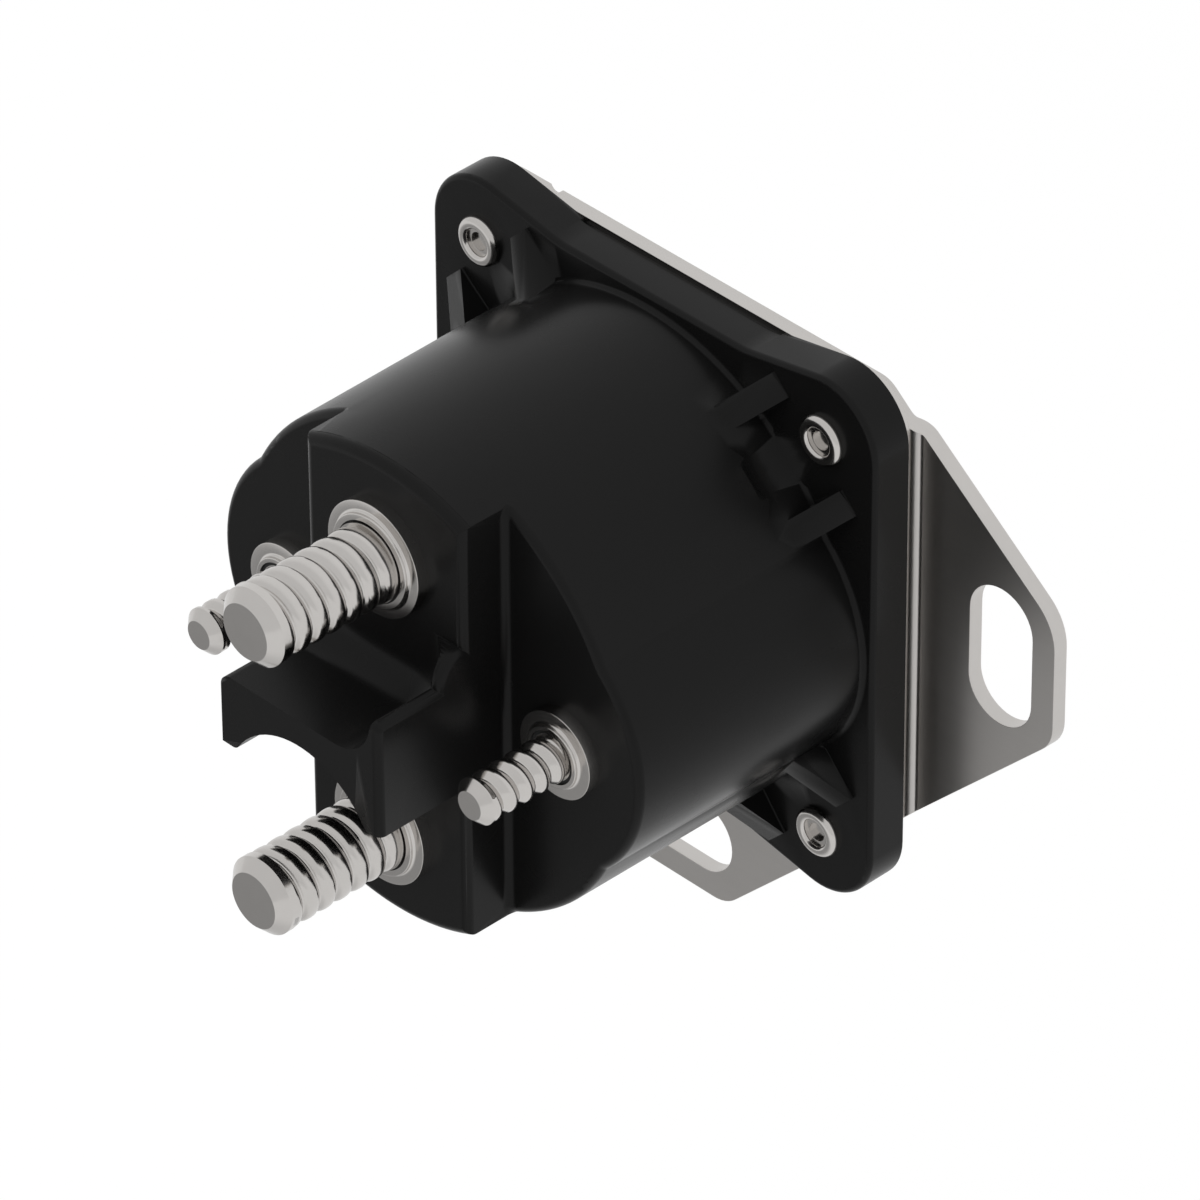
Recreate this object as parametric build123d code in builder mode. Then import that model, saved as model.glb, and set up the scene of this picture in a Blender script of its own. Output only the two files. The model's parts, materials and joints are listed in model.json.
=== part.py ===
from build123d import *
import math
import os

# All sizes are millimetres. The origin lies on the relay axis in the plane of the panel
# that the two slotted ears bolt to. The terminals point along -Y and +Z is up.

# Sheet metal behind the housing
bracket_thickness = 1.6
joggle_height = 0.8
plate_thickness = 1.5
plate_inset = 1.4
plate_notch_offset = 17.9
plate_notch_radius = 0.8
plate_notch_depth = 0.5

# Mounting bracket outline, right ear; the lower ear is its mirror about the diagonal
plate_edge = 25.55
plate_edge_end = 23.1
bracket_corner_radius = 3.0
ear_neck_x = 25.85
ear_neck_z = 23.28
ear_shoulder_x = 28.3
ear_shoulder_z = 22.03
ear_reach = 44.65
ear_tip_top = 9.45
ear_tip_radius = 5.5
ear_foot_radius = 4.0
diagonal_cut = 48.0
top_left_notch = 18.8
joggle_start = 26.9
joggle_run = 1.0
joggle_bend_radius = 0.6
slot_width = 7.7
right_slot_length = 14.9
lower_slot_length = 15.6
slot_reach = 38.05
right_slot_shift = 2.95
lower_slot_shift = -3.7

# Housing moulding
flange_thickness = 4.3
flange_half = 28.5
flange_corner_radius = 6.5
flange_waist = 1.8
flange_taper = 10.7
waist_bend_radius = 10.0
back_relief_half = 12.85
back_relief_depth = 0.2
back_relief_height = 0.5
barrel_step = 3.25
barrel_draft = 0.5
bulge_step = 1.1
bulge_offset = 11.6
barrel_length = 28.0
band_height = 5.25
band_half_width = 10.3
base_radius = 0.55
root_radius = 0.85
crease_radius = 1.5
edge_radius = 0.85
rim_radius = 0.8
band_rim_radius = 1.1

# Shelf between the two large terminals
shelf_reach = 10.55
shelf_top = 2.0
shelf_sweep_radius = 4.7
shelf_root_radius = 3.1
shelf_underside_radius = 1.0
shelf_foot = -5.7
shelf_corner_radius = 1.3
shelf_crest_width = 1.0
shelf_front_radius = 0.8
foot_corner_radius = 0.9
arch_radius = 9.75
arch_centre_z = -10.6

# Corner ribs and the rivet tool clearance between them
rib_inner = 4.75
rib_thickness = 2.65
rib_reach = 4.6
rib_end_height = 0.35
rib_rise = 4.45
rib_depth = 2.65
scallop_radius = 6.5
scallop_height = 5.6
scallop_end_radius = 2.2

# Hollow of the housing
side_wall = 3.25
front_wall = 3.2
rod_pocket_radius = 5.2
rod_pocket_depth = 4.2
gasket_inset = 0.6
gasket_width = 2.6
gasket_thickness = 1.0
gasket_clearance = 0.05

# Tubular rivets
rivet_radius = 2.0
rivet_bore = 1.2
rivet_head_radius = 2.55
rivet_head_height = 0.8
rivet_rim_radius = 0.6
rivet_mouth_radius = 0.5
rivet_clearance = 0.05

# Terminals
main_stud_radius = 3.95
main_shank_radius = 3.55
main_stud_reach = 16.6
main_stud_inset = 10.25
main_head_radius = 6.3
main_head_thickness = 1.4
main_stud_chamfer = 1.1
coil_stud_radius = 2.35
coil_shank_radius = 2.1
coil_stud_reach = 11.75
coil_stud_inset = 9.7
coil_head_radius = 3.4
coil_head_thickness = 0.9
coil_stud_chamfer = 0.9
stud_clearance = 0.03
main_collar_radius = 5.83
main_collar_height = 1.2
main_neck_radius = 5.0
coil_collar_radius = 4.43
coil_collar_height = 1.28
coil_neck_radius = 3.5
neck_height = 0.5
neck_taper = 0.55
collar_chamfer = 0.15
seal_gap = 0.33
seal_drop = 0.25

# Solenoid
frame_thickness = 1.6
frame_bend_radius = 1.0
frame_half_width = 7.5
frame_inset = 1.8
frame_play = 0.4
pole_plate_thickness = 1.8
bobbin_flange_thickness = 1.2
bobbin_wall = 1.0
bobbin_bore = 6.0
bobbin_ear_inset = 1.4
bobbin_ear_half_width = 3.0
bobbin_clearance = 0.05
winding_inset = 0.9
plunger_radius = 5.93
plunger_length = 9.6
plunger_stroke = 3.0
spring_pocket_radius = 3.9
spring_pocket_depth = 3.2
core_clearance = 0.05
plunger_chamfer = 0.3

# Push rod and moving contact
rod_radius = 1.5
rod_clearance = 0.08
rod_grip = 6.0
fixed_clearance = 0.03
rod_tip_chamfer = 0.3
rod_flange_radius = 3.4
rod_flange_thickness = 0.8
rod_flange_gap = 0.8
contact_spring_length = 3.6
bush_flange_radius = 5.0
bush_flange_thickness = 0.6
bush_radius = 3.0
disc_inset = 4.2
disc_thickness = 1.2
washer_radius = 4.6
washer_thickness = 0.6
clip_radius = 3.0
clip_thickness = 0.6
clip_gap = 1.6
rod_end_length = 0.6
contact_gap = 2.1

# Springs
return_wire_radius = 0.25
return_turns = 4
return_coil_radius = 3.2
contact_wire_radius = 0.22
contact_turns = 3
contact_coil_radius = 2.6
spring_seat_gap = 0.02

# Coil leads
lead_width = 3.0
lead_thickness = 0.5
lead_inset = 1.2
lead_tail = 1.05
lead_clearance = 0.05

# Cutting shapes run this far past the body, and edges are told apart by position this closely
overcut = 60.0
tolerance = 0.05

# Widths that follow from the flange
rivet_half = flange_half - flange_corner_radius
plate_half = flange_half - plate_inset
plate_corner_radius = plate_half - rivet_half
barrel_radius = flange_half - barrel_step
bulge_radius = flange_half - bulge_step - bulge_offset
rib_root = barrel_radius - rib_depth
rib_end = barrel_radius + rib_reach
cavity_radius = barrel_radius - side_wall
gasket_inner_radius = cavity_radius + gasket_inset
gasket_outer_radius = gasket_inner_radius + gasket_width
main_stud_spacing = barrel_radius - main_stud_inset
coil_stud_spacing = bulge_offset + bulge_radius - coil_stud_inset
frame_reach = cavity_radius - frame_inset
bobbin_flange_radius = frame_reach - frame_thickness - frame_play
bobbin_ear_reach = cavity_radius - bobbin_ear_inset
winding_radius = bobbin_flange_radius - winding_inset
disc_radius = cavity_radius - disc_inset
lead_offset = bobbin_ear_reach - lead_inset

# Levels, counted from the mounting plane towards the terminals
bracket_front = joggle_height + bracket_thickness
flange_back = bracket_front + plate_thickness
flange_front = flange_back + flange_thickness
lobe_face = flange_front + barrel_length
band_face = lobe_face + band_height
shelf_face = band_face + shelf_reach
cavity_end = lobe_face - front_wall
frame_inner = flange_back + frame_thickness
disc_front = cavity_end - main_head_thickness - contact_gap
disc_back = disc_front - disc_thickness
bush_back = disc_back - bush_flange_thickness
rod_flange_front = bush_back - contact_spring_length
rod_flange_back = rod_flange_front - rod_flange_thickness
pole_front = rod_flange_back - rod_flange_gap
pole_back = pole_front - pole_plate_thickness
plunger_front = frame_inner + plunger_length
core_back = plunger_front + plunger_stroke
rod_start = plunger_front - rod_grip
washer_front = disc_front + washer_thickness
clip_front = washer_front + clip_thickness
rod_end = clip_front + rod_end_length
coil_head_back = cavity_end - coil_head_thickness
lead_start = pole_back - bobbin_clearance - bobbin_flange_thickness - lead_tail


def level(forward):
    """Plane across the relay axis, this far in front of the mounting plane."""
    return Plane.XZ.offset(forward)


def save(builder, name):
    """Label a finished piece and write it to its own STEP file."""
    builder.part.label = name
    export_step(builder.part, f"parts/{name}.step")


os.makedirs("parts", exist_ok=True)


# Moulded housing: flange, barrel, terminal band, shelf, ribs and hollow
with BuildPart() as housing:
    with BuildSketch(level(flange_back)) as flange:
        with BuildLine():
            corner = flange_half - flange_corner_radius
            waist_level = flange_half - flange_waist
            slope = math.radians(flange_taper)
            taper_x = corner - flange_corner_radius * math.sin(slope)
            taper_z = corner + flange_corner_radius * math.cos(slope)
            waist_x = taper_x - (taper_z - waist_level) / math.tan(slope)
            Line((flange_half, 0), (flange_half, corner))
            RadiusArc((flange_half, corner), (taper_x, taper_z), -flange_corner_radius)
            Line((taper_x, taper_z), (waist_x, waist_level))
            Line((waist_x, waist_level), (0, waist_level))
            mirror(about=Plane.YZ)
            mirror(about=Plane.XZ)
        make_face()
        fillet(flange.vertices().filter_by(lambda v: abs(abs(v.X) - waist_x) < tolerance), waist_bend_radius)
    extrude(amount=flange_thickness)

    # Barrel with a shallow bulge over each coil terminal
    with BuildSketch(level(flange_front)):
        Circle(barrel_radius)
    extrude(amount=band_face - flange_front, taper=barrel_draft)
    for side in (-1, 1):
        with BuildSketch(level(flange_front)):
            with Locations((side * bulge_offset, 0)):
                Circle(bulge_radius)
        extrude(amount=lobe_face - flange_front, taper=barrel_draft)
    base_arcs = edges().filter_by(GeomType.CIRCLE).filter_by(
        lambda e: abs(e.center(CenterOf.BOUNDING_BOX).Y + flange_front) < tolerance
    )
    fillet(base_arcs.filter_by(lambda e: e.radius > flange_corner_radius + tolerance), base_radius)

    # Faces either side of the terminal band
    with BuildSketch(level(lobe_face)):
        with Locations(
            (-band_half_width - overcut / 2, 0),
            (band_half_width + overcut / 2, 0),
        ):
            Rectangle(overcut, 2 * overcut)
    extrude(amount=overcut, mode=Mode.SUBTRACT)

    # Shelf block with a low wall along its right edge, swept up into the band
    wall_top = shelf_top + shelf_sweep_radius
    with BuildSketch(Plane.YZ.offset(-band_half_width)):
        with BuildLine():
            Line((-lobe_face, shelf_foot), (-shelf_face, shelf_foot))
            Line((-shelf_face, shelf_foot), (-shelf_face, wall_top))
            Line((-shelf_face, wall_top), (-band_face - shelf_root_radius, wall_top))
            RadiusArc(
                (-band_face - shelf_root_radius, wall_top),
                (-band_face, wall_top + shelf_root_radius),
                shelf_root_radius,
            )
            Line((-band_face, wall_top + shelf_root_radius), (-lobe_face, wall_top + shelf_root_radius))
            Line((-lobe_face, wall_top + shelf_root_radius), (-lobe_face, shelf_foot))
        make_face()
    extrude(amount=2 * band_half_width)

# Space above the shelf, rounded where it meets the wall and the band
with BuildPart() as scoop:
    with BuildSketch(level(band_face)):
        with BuildLine():
            wall_inner = band_half_width - shelf_crest_width
            Line((-overcut, shelf_top), (wall_inner - shelf_sweep_radius, shelf_top))
            CenterArc((wall_inner - shelf_sweep_radius, wall_top), shelf_sweep_radius, -90, 90)
            Line((wall_inner, wall_top), (wall_inner, overcut))
            Line((wall_inner, overcut), (-overcut, overcut))
            Line((-overcut, overcut), (-overcut, shelf_top))
        make_face()
    extrude(amount=overcut)
    back = scoop.faces().sort_by(Axis.Y)[-1]
    chain = back.edges().filter_by(
        lambda e: e.center().X > -overcut + tolerance and e.center().Z < overcut - tolerance
    )
    fillet(chain, shelf_root_radius)

# Space below the shelf, with the arch that clears the lower terminal
with BuildPart() as arch:
    with BuildSketch(level(band_face)):
        with BuildLine():
            arch_half = math.sqrt(arch_radius**2 - (shelf_foot - arch_centre_z) ** 2)
            Line((-overcut, shelf_foot), (-arch_half, shelf_foot))
            RadiusArc((-arch_half, shelf_foot), (arch_half, shelf_foot), arch_radius)
            Line((arch_half, shelf_foot), (overcut, shelf_foot))
            Line((overcut, shelf_foot), (overcut, -overcut))
            Line((overcut, -overcut), (-overcut, -overcut))
            Line((-overcut, -overcut), (-overcut, shelf_foot))
        make_face()
    extrude(amount=overcut)
    inner_corners = arch.edges().filter_by(Axis.Y).filter_by(
        lambda e: abs(abs(e.center().X) - arch_half) < tolerance
    )
    fillet(inner_corners, foot_corner_radius)
    back = arch.faces().sort_by(Axis.Y)[-1]
    chain = back.edges().filter_by(lambda e: e.center().Z > shelf_foot - tolerance)
    fillet(chain, shelf_underside_radius)

with housing:
    add(scoop.part, mode=Mode.SUBTRACT)
    add(arch.part, mode=Mode.SUBTRACT)

# Rounded creases and rims first, then the long edges of the band and the shelf. Each fillet
# needs the body just as the one before left it, so they are applied to the solid itself.
def is_crease(edge):
    box = edge.bounding_box()
    is_tall = box.size.Y > barrel_length / 2 and box.max.Y < -flange_front + tolerance
    is_wide = abs(edge.center().X) > 2 * band_half_width - tolerance
    return is_tall and is_wide and edge.geom_type != GeomType.CIRCLE


def is_lobe_rim(edge):
    box = edge.bounding_box()
    is_on_face = abs(box.max.Y + lobe_face) < tolerance and abs(box.min.Y + lobe_face) < tolerance
    return is_on_face and edge.geom_type != GeomType.LINE


def is_long_edge(edge):
    box = edge.bounding_box()
    is_in_wall = abs(abs(edge.center().X) - band_half_width) < tolerance and box.size.X < tolerance
    return is_in_wall and -shelf_face + tolerance < box.max.Y < -band_face + tolerance


def is_right_edge(edge):
    return is_long_edge(edge) and edge.center().X > 0 and edge.center().Z > shelf_foot + tolerance


def is_left_edge(edge):
    return is_long_edge(edge) and edge.center().X < 0 and edge.center().Z > shelf_foot + tolerance


def is_low_edge(edge):
    return is_long_edge(edge) and edge.center().Z < shelf_foot - tolerance


def is_front_edge(edge):
    is_corner = abs(edge.center().X - band_half_width) < tolerance and edge.bounding_box().size.X < tolerance
    return is_corner and abs(edge.center().Y + shelf_face) < tolerance


def is_root(edge):
    is_in_wall = abs(abs(edge.center().X) - band_half_width) < tolerance
    return is_in_wall and abs(edge.center().Y + lobe_face) < tolerance and edge.geom_type == GeomType.LINE


rounded = housing.part
rounded = rounded.fillet(crease_radius, rounded.edges().filter_by(is_crease))
rounded = rounded.fillet(rim_radius, rounded.edges().filter_by(is_lobe_rim))
rounded = rounded.fillet(edge_radius, rounded.edges().filter_by(is_right_edge))
rounded = rounded.fillet(shelf_corner_radius, rounded.edges().filter_by(is_left_edge))
rounded = rounded.fillet(edge_radius, rounded.edges().filter_by(is_low_edge))
rounded = rounded.fillet(root_radius, rounded.edges().filter_by(is_root))
rounded = rounded.fillet(shelf_front_radius, rounded.edges().filter_by(is_front_edge))

# Rounded rim at both ends of the terminal band
with BuildPart() as band_rim:
    with BuildSketch(Plane.XY):
        with BuildLine():
            barrel_front = barrel_radius - (band_face - flange_front) * math.tan(math.radians(barrel_draft))
            RadiusArc(
                (barrel_front - band_rim_radius, -band_face),
                (barrel_front, -band_face + band_rim_radius),
                -band_rim_radius,
            )
            Line((barrel_front, -band_face + band_rim_radius), (barrel_radius, -band_face + band_rim_radius))
            Line((barrel_radius, -band_face + band_rim_radius), (barrel_radius, -shelf_face))
            Line((barrel_radius, -shelf_face), (barrel_front - band_rim_radius, -shelf_face))
            Line((barrel_front - band_rim_radius, -shelf_face), (barrel_front - band_rim_radius, -band_face))
        make_face()
    revolve(axis=Axis.Y)
    with BuildSketch(level(lobe_face)):
        Rectangle(2 * (band_half_width + root_radius), 2 * flange_half)
    extrude(amount=shelf_face - lobe_face, mode=Mode.INTERSECT)

with BuildPart() as housing:
    add(rounded)
    add(band_rim.part, mode=Mode.SUBTRACT)

    # Two ribs at each corner, sloping down beside the rivet
    for corner in (1, 3, 5, 7):
        turn = corner * math.pi / 4
        diagonal = Plane(
            origin=(0, -flange_front, 0),
            x_dir=(math.cos(turn), 0, math.sin(turn)),
            z_dir=(math.sin(turn), 0, -math.cos(turn)),
        )
        for side in (-1, 1):
            with BuildSketch(diagonal.offset(side * (rib_inner + rib_thickness / 2))):
                with BuildLine():
                    Polyline(
                        (rib_root, 0),
                        (rib_end, 0),
                        (rib_end, rib_end_height),
                        (rib_root, rib_rise),
                        close=True,
                    )
                make_face()
            extrude(amount=rib_thickness / 2, both=True)

# Room for the riveting tool, cut into the barrel above each rivet
with BuildPart() as scallops:
    with BuildSketch(level(flange_front)):
        with GridLocations(2 * rivet_half, 2 * rivet_half, 2, 2):
            Circle(scallop_radius)
    extrude(amount=scallop_height)
    fillet(scallops.faces().filter_by(Axis.Y).group_by(Axis.Y)[0].edges(), scallop_end_radius)
    # The ribs stay: the tool only reaches between them
    with BuildSketch(level(flange_front)):
        Rectangle(2 * overcut, 2 * rib_inner, rotation=45)
        Rectangle(2 * overcut, 2 * rib_inner, rotation=-45)
    extrude(amount=scallop_height, mode=Mode.INTERSECT)

with housing:
    add(scallops.part, mode=Mode.SUBTRACT)

    # Relief along the top back edge
    with BuildSketch(level(flange_back)):
        with Locations((0, waist_level - back_relief_depth + flange_waist)):
            Rectangle(2 * back_relief_half, 2 * flange_waist)
    extrude(amount=back_relief_height, mode=Mode.SUBTRACT)

    # Hollow for the solenoid, with a step for the gasket and a pocket for the rod
    with BuildSketch(level(flange_back)):
        Circle(cavity_radius)
    extrude(amount=cavity_end - flange_back, mode=Mode.SUBTRACT)
    with BuildSketch(level(flange_back)):
        Circle(gasket_outer_radius + gasket_clearance)
    extrude(amount=gasket_thickness, mode=Mode.SUBTRACT)
    with BuildSketch(level(cavity_end)):
        Circle(rod_pocket_radius)
    extrude(amount=rod_pocket_depth, mode=Mode.SUBTRACT)

    # Holes for the terminals and the rivets
    with BuildSketch(level(cavity_end)):
        with Locations((0, main_stud_spacing), (0, -main_stud_spacing)):
            Circle(main_shank_radius + stud_clearance)
        with Locations((coil_stud_spacing, 0), (-coil_stud_spacing, 0)):
            Circle(coil_shank_radius + stud_clearance)
    extrude(amount=shelf_face - cavity_end, mode=Mode.SUBTRACT)
    with BuildSketch(level(flange_back)):
        with GridLocations(2 * rivet_half, 2 * rivet_half, 2, 2):
            Circle(rivet_radius + rivet_clearance)
    extrude(amount=flange_thickness, mode=Mode.SUBTRACT)
save(housing, "housing")

# Steel plate that closes the back of the housing
with BuildPart() as base_plate:
    with BuildSketch(level(bracket_front)):
        RectangleRounded(2 * plate_half, 2 * plate_half, plate_corner_radius)
        notch_centre = plate_half + plate_notch_radius - plate_notch_depth
        with GridLocations(2 * plate_notch_offset, 2 * notch_centre, 2, 2):
            Circle(plate_notch_radius, mode=Mode.SUBTRACT)
        with GridLocations(2 * rivet_half, 2 * rivet_half, 2, 2):
            Circle(rivet_radius + rivet_clearance, mode=Mode.SUBTRACT)
    extrude(amount=plate_thickness)
save(base_plate, "base_plate")

with BuildPart() as base_gasket:
    with BuildSketch(level(flange_back)):
        Circle(gasket_outer_radius)
        Circle(gasket_inner_radius, mode=Mode.SUBTRACT)
    extrude(amount=gasket_thickness)
save(base_gasket, "base_gasket")

# Mounting bracket: half of the outline, mirrored about the diagonal of the plate
with BuildSketch() as bracket_outline:
    with BuildLine():
        diagonal_start = (diagonal_cut / 2, -diagonal_cut / 2)
        tip_bottom = (ear_reach, ear_reach - diagonal_cut)
        tip_top = (ear_reach, ear_tip_top)
        shoulder = (ear_shoulder_x, ear_shoulder_z)
        neck = (ear_neck_x, ear_neck_z)
        plate_top = (plate_edge_end, plate_edge)
        notch_top = (-top_left_notch, plate_edge)
        Polyline(
            diagonal_start, tip_bottom, tip_top, shoulder, neck, plate_top, notch_top,
            (-top_left_notch, top_left_notch),
        )
        mirror(about=Plane(origin=(0, 0, 0), z_dir=(1, 1, 0)))
    make_face()
    tips = bracket_outline.vertices().filter_by(
        lambda v: abs(v.X - ear_reach) + abs(v.Y - ear_tip_top) < tolerance
        or abs(v.Y + ear_reach) + abs(v.X + ear_tip_top) < tolerance
    )
    fillet(tips, ear_tip_radius)
    feet = bracket_outline.vertices().filter_by(
        lambda v: abs(v.X - ear_reach) + abs(v.Y - ear_reach + diagonal_cut) < tolerance
        or abs(v.Y + ear_reach) + abs(v.X + ear_reach - diagonal_cut) < tolerance
    )
    fillet(feet, ear_foot_radius)
    corners = bracket_outline.vertices().filter_by(
        lambda v: abs(v.X - plate_edge_end) + abs(v.Y - plate_edge) < tolerance
        or abs(v.Y + plate_edge_end) + abs(v.X + plate_edge) < tolerance
    )
    fillet(corners, bracket_corner_radius)


# The back of the sheet bends a little nearer to the plate, which keeps its thickness even
bend_shift = bracket_thickness * math.tan(math.atan2(joggle_height, joggle_run) / 2)
back_start = joggle_start - bend_shift


def is_inner_bend(vertex):
    is_back = abs(vertex.X - back_start) + abs(vertex.Y - joggle_height) < tolerance
    is_front = abs(vertex.X - joggle_start - joggle_run) + abs(vertex.Y - bracket_thickness) < tolerance
    return is_back or is_front


def is_outer_bend(vertex):
    is_front = abs(vertex.X - joggle_start) + abs(vertex.Y - bracket_front) < tolerance
    is_back = abs(vertex.X - back_start - joggle_run) + abs(vertex.Y) < tolerance
    return is_front or is_back


def bracket_half(section_plane):
    """Sheet with one ear set back by the joggle, cut to the bracket outline."""
    with BuildPart() as half:
        with BuildSketch(section_plane) as section:
            with BuildLine():
                Polyline(
                    (-plate_edge, joggle_height),
                    (back_start, joggle_height),
                    (back_start + joggle_run, 0),
                    (ear_reach, 0),
                    (ear_reach, bracket_thickness),
                    (joggle_start + joggle_run, bracket_thickness),
                    (joggle_start, bracket_front),
                    (-plate_edge, bracket_front),
                    close=True,
                )
            make_face()
            fillet(section.vertices().filter_by(is_inner_bend), joggle_bend_radius)
            fillet(section.vertices().filter_by(is_outer_bend), joggle_bend_radius + bracket_thickness)
        extrude(amount=plate_edge + joggle_start)
        with BuildSketch(level(0)):
            add(bracket_outline.sketch)
        extrude(amount=bracket_front, mode=Mode.INTERSECT)
    return half.part


with BuildPart() as mounting_bracket:
    add(bracket_half(Plane(origin=(0, 0, plate_edge), x_dir=(1, 0, 0), z_dir=(0, 0, -1))))
    add(bracket_half(Plane(origin=(joggle_start, 0, 0), x_dir=(0, 0, -1), z_dir=(-1, 0, 0))))
    with BuildSketch(level(0)):
        with Locations((slot_reach, right_slot_shift)):
            SlotOverall(right_slot_length, slot_width, rotation=90)
        with Locations((lower_slot_shift, -slot_reach)):
            SlotOverall(lower_slot_length, slot_width)
    extrude(amount=bracket_thickness, mode=Mode.SUBTRACT)
    with BuildSketch(level(0)):
        with Locations((rivet_half, rivet_half), (rivet_half, -rivet_half), (-rivet_half, -rivet_half)):
            Circle(rivet_radius + rivet_clearance)
    extrude(amount=bracket_front, mode=Mode.SUBTRACT)
save(mounting_bracket, "mounting_bracket")


def rivet(x, z, sheet_back):
    """Tubular rivet from the back of the last sheet to the front of the flange."""
    with BuildPart() as tube:
        with BuildSketch(level(sheet_back)):
            with Locations((x, z)):
                Circle(rivet_radius)
        extrude(amount=flange_front - sheet_back)
        for start in (sheet_back - rivet_head_height, flange_front):
            with BuildSketch(level(start)):
                with Locations((x, z)):
                    Circle(rivet_head_radius)
            extrude(amount=rivet_head_height)
        with BuildSketch(level(sheet_back - rivet_head_height)):
            with Locations((x, z)):
                Circle(rivet_bore)
        extrude(amount=flange_front - sheet_back + 2 * rivet_head_height, mode=Mode.SUBTRACT)
        for end in (0, -1):
            rims = tube.faces().filter_by(Axis.Y).sort_by(Axis.Y)[end].edges().sort_by(SortBy.RADIUS)
            fillet(rims[-1], rivet_rim_radius)
            rims = tube.faces().filter_by(Axis.Y).sort_by(Axis.Y)[end].edges().sort_by(SortBy.RADIUS)
            fillet(rims[0], rivet_mouth_radius)
    return tube


# Only the upper left rivet misses the bracket
save(rivet(-rivet_half, rivet_half, bracket_front), "rivet_upper_left")
save(rivet(rivet_half, rivet_half, joggle_height), "rivet_upper_right")
save(rivet(-rivet_half, -rivet_half, joggle_height), "rivet_lower_left")
save(rivet(rivet_half, -rivet_half, joggle_height), "rivet_lower_right")


def stud(x, z, shank, radius, thread_level, reach_level, head_radius, head_thickness, end_chamfer):
    """Terminal screw moulded into the front wall, with its head on the inside."""
    with BuildPart() as screw:
        with BuildSketch(level(cavity_end - head_thickness)):
            with Locations((x, z)):
                Circle(head_radius)
        extrude(amount=head_thickness)
        with BuildSketch(level(cavity_end)):
            with Locations((x, z)):
                Circle(shank)
        extrude(amount=thread_level - cavity_end)
        with BuildSketch(level(thread_level)):
            with Locations((x, z)):
                Circle(radius)
        extrude(amount=reach_level - thread_level)
        chamfer(screw.faces().sort_by(Axis.Y)[0].edges(), end_chamfer)
    return screw


def collar(x, z, face, bore, outer, height, neck):
    """Plain washer with a short conical neck, pressed onto the screw."""
    with BuildPart() as ring:
        with BuildSketch(level(face)):
            with Locations((x, z)):
                Circle(outer)
        extrude(amount=height)
        chamfer(ring.faces().sort_by(Axis.Y)[0].edges(), collar_chamfer)
        with BuildSketch(level(face + height)):
            with Locations((x, z)):
                Circle(neck)
        with BuildSketch(level(face + height + neck_height)):
            with Locations((x, z)):
                Circle(neck - neck_taper)
        loft()
        with BuildSketch(level(face)):
            with Locations((x, z)):
                Circle(bore)
        extrude(amount=height + neck_height, mode=Mode.SUBTRACT)
    return ring


def seal(x, z, face, inner, outer, height):
    """Thin rubber sleeve between the screw and its collar."""
    with BuildPart() as sleeve:
        with BuildSketch(level(face)):
            with Locations((x, z)):
                Circle(outer)
                Circle(inner, mode=Mode.SUBTRACT)
        extrude(amount=height)
    return sleeve


main_seal_inner = main_shank_radius + stud_clearance
main_seal_outer = main_stud_radius + seal_gap
main_thread_start = band_face + main_collar_height + neck_height
for name, z in (("upper", main_stud_spacing), ("lower", -main_stud_spacing)):
    screw = stud(
        0, z, main_shank_radius, main_stud_radius, main_thread_start,
        band_face + main_stud_reach, main_head_radius, main_head_thickness, main_stud_chamfer,
    )
    save(screw, f"main_stud_{name}")
    ring = collar(
        0, z, band_face, main_seal_outer + stud_clearance,
        main_collar_radius, main_collar_height, main_neck_radius,
    )
    save(ring, f"main_collar_{name}")
    sleeve_height = main_thread_start - seal_drop - band_face
    save(seal(0, z, band_face, main_seal_inner, main_seal_outer, sleeve_height), f"main_seal_{name}")

coil_seal_inner = coil_shank_radius + stud_clearance
coil_seal_outer = coil_stud_radius + seal_gap
coil_thread_start = lobe_face + coil_collar_height + neck_height
for name, x in (("left", -coil_stud_spacing), ("right", coil_stud_spacing)):
    screw = stud(
        x, 0, coil_shank_radius, coil_stud_radius, coil_thread_start,
        lobe_face + coil_stud_reach, coil_head_radius, coil_head_thickness, coil_stud_chamfer,
    )
    save(screw, f"coil_stud_{name}")
    ring = collar(
        x, 0, lobe_face, coil_seal_outer + stud_clearance,
        coil_collar_radius, coil_collar_height, coil_neck_radius,
    )
    save(ring, f"coil_collar_{name}")
    sleeve_height = coil_thread_start - seal_drop - lobe_face
    save(seal(x, 0, lobe_face, coil_seal_inner, coil_seal_outer, sleeve_height), f"coil_seal_{name}")

# Solenoid: U-shaped frame, pole plate with its core, bobbin, winding and leads
with BuildPart() as magnet_frame:
    with BuildSketch(Plane.YZ.offset(-frame_half_width)):
        with BuildLine():
            Polyline(
                (-flange_back, -frame_reach),
                (-pole_back, -frame_reach),
                (-pole_back, -frame_reach + frame_thickness),
                (-frame_inner, -frame_reach + frame_thickness),
                (-frame_inner, frame_reach - frame_thickness),
                (-pole_back, frame_reach - frame_thickness),
                (-pole_back, frame_reach),
                (-flange_back, frame_reach),
                close=True,
            )
        make_face()
    extrude(amount=2 * frame_half_width)
    outer_bends = magnet_frame.edges().filter_by(Axis.X).group_by(Axis.Y)[-1]
    fillet(outer_bends, frame_bend_radius)
save(magnet_frame, "magnet_frame")

with BuildPart() as pole_plate:
    with BuildSketch(level(pole_back)):
        Rectangle(2 * frame_half_width, 2 * frame_reach)
    extrude(amount=pole_plate_thickness)
    with BuildSketch(level(core_back)):
        Circle(bobbin_bore - core_clearance)
    extrude(amount=pole_back - core_back)
    with BuildSketch(level(core_back)):
        Circle(rod_radius + rod_clearance)
    extrude(amount=pole_front - core_back, mode=Mode.SUBTRACT)
save(pole_plate, "pole_plate")

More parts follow.
